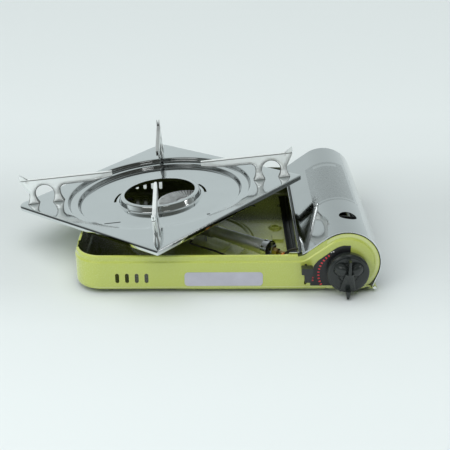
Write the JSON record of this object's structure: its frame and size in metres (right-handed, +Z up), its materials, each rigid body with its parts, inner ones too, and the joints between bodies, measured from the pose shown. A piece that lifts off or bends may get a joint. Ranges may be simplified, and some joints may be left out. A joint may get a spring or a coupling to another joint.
{
  "type": "butane cassette stove",
  "caption": "Low tabletop gas stove: open enamelled pan with a burner, arched hinged cartridge cover, front knob and lock lever, and a loose square drip tray with pan supports.",
  "frame": {"origin": "under the middle of the whole object's box, on the surface that the rubber feet stand on", "axes": "+X to the cartridge cover's side, to the right as seen from the knob; +Y to the back; +Z up"},
  "size_m": [0.4196, 0.3452, 0.1168],
  "materials": {
    "enamel": "glossy green stove enamel",
    "bright_steel": "polished stainless sheet",
    "shield_steel": "rolled bright steel",
    "zinc_steel": "zinc-plated pressed steel",
    "cast_alloy": "as-cast aluminium, slightly rough",
    "burner_alloy": "machined aluminium",
    "brass": "turned brass",
    "knob_black": "satin black moulded plastic",
    "dial_black": "printed film with plain tick marks",
    "plate_grey": "blank satin grey plate",
    "rubber": "black rubber",
    "ceramic": "glazed white ceramic",
    "white_plastic": "natural white acetal",
    "lead_orange": "orange lead insulation"
  },
  "bodies": {
    "root": {"body_pan": "enamel", "rubber_feet": "rubber", "wall_rivets": "zinc_steel", "heat_shield": "shield_steel", "nameplate": "plate_grey", "dial_plate": "dial_black", "regulator_body": "cast_alloy", "regulator_cover": "shield_steel", "nozzle_seat": "brass", "inlet_seal": "rubber", "regulator_bracket": "zinc_steel", "regulator_screws": "zinc_steel", "gas_pipe": "brass", "gas_jet": "brass", "jet_bracket": "zinc_steel", "air_shutter": "bright_steel", "mixing_tube": "zinc_steel", "burner_base": "cast_alloy", "burner_cap": "burner_alloy", "burner_bracket": "zinc_steel", "burner_screws": "zinc_steel", "igniter_electrode": "zinc_steel", "electrode_ceramic": "ceramic", "electrode_clip": "zinc_steel", "ignition_lead": "lead_orange", "piezo_igniter": "knob_black", "piezo_bracket": "zinc_steel", "cartridge_rails": "zinc_steel", "cartridge_guide": "shield_steel", "lever_bracket": "zinc_steel", "lever_pin": "zinc_steel", "rod_guides": "zinc_steel", "hinge_knuckles": "enamel", "hinge_pin": "bright_steel"},
    "cover": {"cartridge_cover": "bright_steel", "cover_hinge_leaf": "zinc_steel"},
    "knob": {"control_knob": "knob_black", "valve_shaft": "brass", "striker_cam": "white_plastic"},
    "piezo": {"piezo_plunger": "white_plastic"},
    "lever": {"lock_lever": "zinc_steel", "lever_cap": "knob_black"},
    "carriage": {"carriage_rod": "shield_steel", "pusher_plate": "shield_steel"},
    "tray": {"drip_tray": "bright_steel", "pan_support_front": "bright_steel", "pan_support_right": "bright_steel", "pan_support_back": "bright_steel", "pan_support_left": "bright_steel"}
  },
  "joints": [
    {"name": "cover_open", "type": "hinge", "parent": "root", "child": "cover", "pos_m": [0.2043, -0.00866, 0.0053], "axis": [0, 1, 0], "range_deg": [0, 85]},
    {"name": "knob_turn", "type": "hinge", "parent": "root", "child": "knob", "pos_m": [0.1727, -0.15766, 0.0285], "axis": [0, -1, 0], "range_deg": [0, 130]},
    {"name": "lever_press", "type": "hinge", "parent": "root", "child": "lever", "pos_m": [0.1272, -0.11966, 0.011], "axis": [1, 0, 0], "range_deg": [0, 18]},
    {"name": "tray_lift", "type": "slide", "parent": "root", "child": "tray", "axis": [0, 0, 1], "range_m": [0, 0.06]},
    {"name": "carriage_slide", "type": "slide", "parent": "root", "child": "carriage", "axis": [0, -1, 0], "range_m": [0, 0.00558]},
    {"name": "piezo_press", "type": "slide", "parent": "root", "child": "piezo", "axis": [-1, 0, 0], "range_m": [0, 0.00502]}
  ],
  "couplings": [
    {"joint": "carriage_slide", "follows": "lever_press", "m_per_rad": 0.01771},
    {"joint": "piezo_press", "follows": "knob_turn", "m_per_rad": 0.002204}
  ]
}
